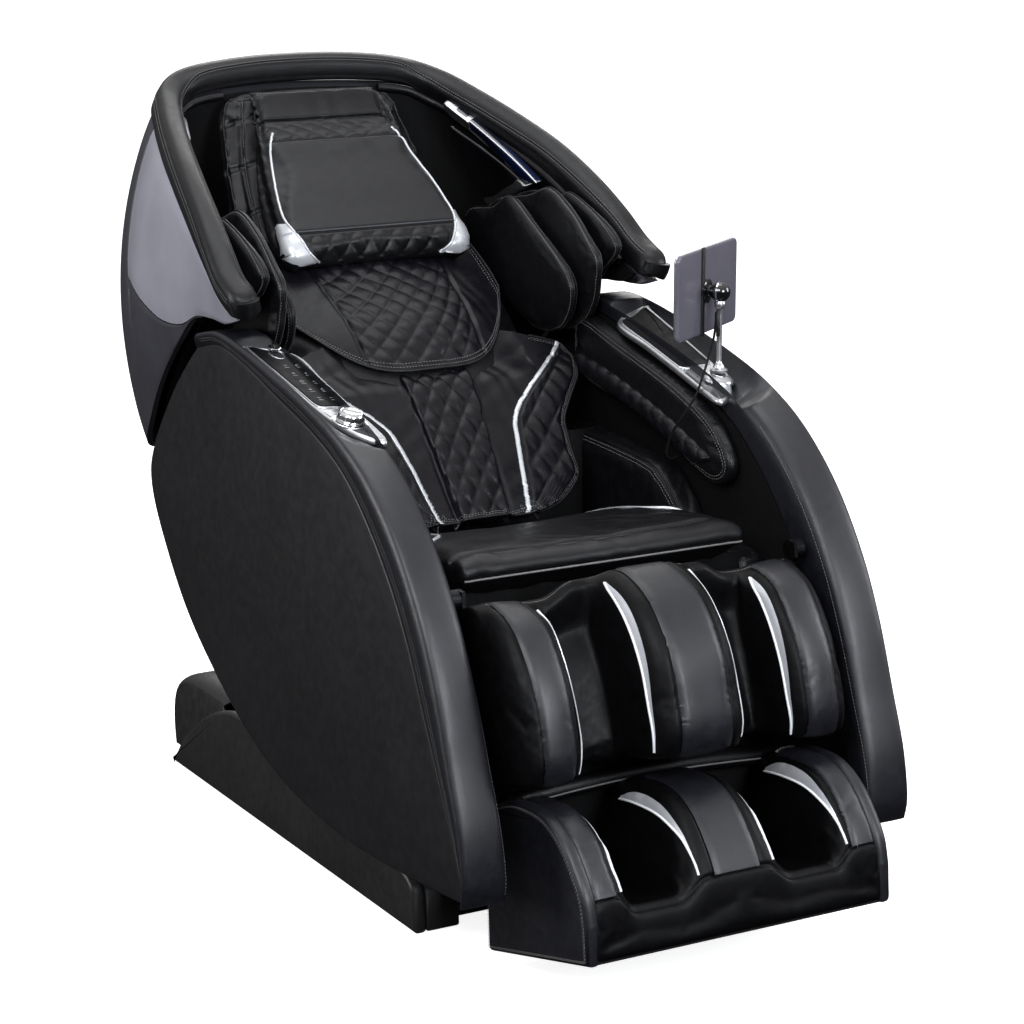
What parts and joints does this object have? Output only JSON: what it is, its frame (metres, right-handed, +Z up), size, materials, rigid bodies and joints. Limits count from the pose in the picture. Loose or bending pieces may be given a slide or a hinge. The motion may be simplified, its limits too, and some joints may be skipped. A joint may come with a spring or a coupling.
{
  "type": "massage chair",
  "caption": "Reclining massage chair with padded arms, hooded back, head pillow, lifting calf and foot unit, arm keypad, phone pad and tablet stand.",
  "frame": {"origin": "on the floor at the middle of the base chassis plate", "axes": "+Z up; the sitter faces -Y; +X is the sitter's left"},
  "size_m": [0.8546, 1.5411, 1.2798],
  "materials": {
    "leather": "semi-gloss black synthetic leather",
    "quilt": "quilted black synthetic leather",
    "lining": "matt black lining",
    "shell": "satin black moulding",
    "gloss": "glossy purple-grey moulding",
    "satin": "satin silver paint",
    "chrome": "bright chrome plate",
    "glass": "black glass",
    "plastic": "grained black plastic",
    "steel": "dark powder coat",
    "rubber": "matt black rubber"
  },
  "bodies": {
    "base": {"base_chassis": "steel", "left_slide_rail": "steel", "right_slide_rail": "steel", "left_base_skirt": "plastic", "right_base_skirt": "plastic", "wheel_axle": "steel", "rear_base_cover": "plastic", "control_box": "plastic", "air_pump": "plastic"},
    "left_wheel": {"left_transport_wheel": "rubber"},
    "right_wheel": {"right_transport_wheel": "rubber"},
    "mains_rocker": {"power_switch": "plastic"},
    "carriage": {"seat_frame": "steel", "seat_cushion": "leather", "lumbar_flap": "quilt", "left_arm_panel": "shell", "right_arm_panel": "shell", "left_arm_core": "lining", "right_arm_core": "lining", "left_arm_band": "leather", "right_arm_band": "leather", "left_arm_lower_pad": "leather", "right_arm_lower_pad": "leather", "left_arm_upper_pad": "quilt", "right_arm_upper_pad": "quilt", "left_console_bezel": "satin", "right_console_bezel": "satin", "phone_pad": "rubber", "keypad_glass": "glass", "tablet_cable": "rubber"},
    "volume_knob": {"knob": "chrome"},
    "start_button": {"power_button": "chrome"},
    "stand": {"stand_pole": "chrome"},
    "tablet_head": {"tablet": "shell"},
    "backrest": {"back_frame": "steel", "hood_shell": "shell", "left_hood_panel": "gloss", "right_hood_panel": "gloss", "hood_rim": "leather", "hood_lining": "lining", "back_pad": "leather", "back_apron": "quilt", "left_shoulder_bag_inner": "leather", "left_shoulder_bag_outer": "leather", "right_shoulder_bag_inner": "leather", "right_shoulder_bag_outer": "leather", "left_speaker": "glass", "right_speaker": "glass", "left_light_strip": "chrome", "right_light_strip": "chrome", "massage_track": "steel"},
    "head_pillow": {"pillow": "quilt"},
    "massager": {"massage_carriage": "plastic"},
    "fork": {"roller_fork": "steel"},
    "rollers": {"massage_rollers": "rubber"},
    "legrest": {"calf_cushion": "leather", "leg_frame": "steel"},
    "footrest": {"footrest_tray": "leather", "foot_cushion": "leather"},
    "sole_roller": {"foot_roller": "rubber"}
  },
  "joints": [
    {"name": "left_wheel_spin", "type": "hinge", "parent": "base", "child": "left_wheel", "pos_m": [0.212, 0.488, 0.04], "axis": [1, 0, 0], "continuous": true},
    {"name": "right_wheel_spin", "type": "hinge", "parent": "base", "child": "right_wheel", "pos_m": [-0.212, 0.488, 0.04], "axis": [1, 0, 0], "continuous": true},
    {"name": "mains_rocker_tilt", "type": "hinge", "parent": "base", "child": "mains_rocker", "pos_m": [-0.215, 0.601, 0.072], "axis": [1, 0, 0], "range_deg": [-5, 5]},
    {"name": "carriage_slide", "type": "slide", "parent": "base", "child": "carriage", "axis": [0, -1, 0], "range_m": [0, 0.111]},
    {"name": "backrest_recline", "type": "hinge", "parent": "carriage", "child": "backrest", "pos_m": [0, 0.08, 0.46], "axis": [-1, 0, 0], "range_deg": [0, 38]},
    {"name": "pillow_flip", "type": "hinge", "parent": "backrest", "child": "head_pillow", "pos_m": [0, 0.5465, 1.2235], "axis": [-1, 0, 0], "range_deg": [0, 55]},
    {"name": "massage_travel", "type": "slide", "parent": "backrest", "child": "massager", "axis": [0, 0.694, 0.72], "range_m": [0, 0.24]},
    {"name": "fork_rock", "type": "hinge", "parent": "massager", "child": "fork", "pos_m": [0, 0.24088, 0.65762], "axis": [1, 0, 0], "range_deg": [-8, 8]},
    {"name": "rollers_spin", "type": "hinge", "parent": "fork", "child": "rollers", "pos_m": [0, 0.21892, 0.67879], "axis": [1, 0, 0], "continuous": true},
    {"name": "legrest_lift", "type": "hinge", "parent": "carriage", "child": "legrest", "pos_m": [0, -0.56, 0.575], "axis": [-1, 0, 0], "range_deg": [0, 50]},
    {"name": "footrest_slide", "type": "slide", "parent": "legrest", "child": "footrest", "axis": [0, -0.55, -0.8352], "range_m": [0, 0.121]},
    {"name": "sole_roller_spin", "type": "hinge", "parent": "footrest", "child": "sole_roller", "pos_m": [0, -0.69, 0.084], "axis": [1, 0, 0], "continuous": true},
    {"name": "knob_turn", "type": "hinge", "parent": "carriage", "child": "volume_knob", "pos_m": [-0.336, -0.276, 0.8], "axis": [0.0967, -0.2372, 0.9666], "continuous": true},
    {"name": "start_button_press", "type": "slide", "parent": "carriage", "child": "start_button", "axis": [-0.0967, 0.2372, -0.9666], "range_m": [0, 0.0012], "stiffness_N_per_m": 500, "springref_m": -0.001},
    {"name": "stand_swivel", "type": "hinge", "parent": "carriage", "child": "stand", "pos_m": [0.345, -0.277, 0.803], "axis": [0, 0, 1], "range_deg": [-40, 40]},
    {"name": "tablet_tilt", "type": "hinge", "parent": "stand", "child": "tablet_head", "pos_m": [0.345, -0.277, 0.947], "axis": [0.8291, 0.5591, 0], "range_deg": [-15, 15]}
  ],
  "couplings": [
    {"joint": "carriage_slide", "follows": "backrest_recline", "m_per_rad": 0.166},
    {"joint": "footrest_slide", "follows": "legrest_lift", "m_per_rad": 0.1375}
  ]
}
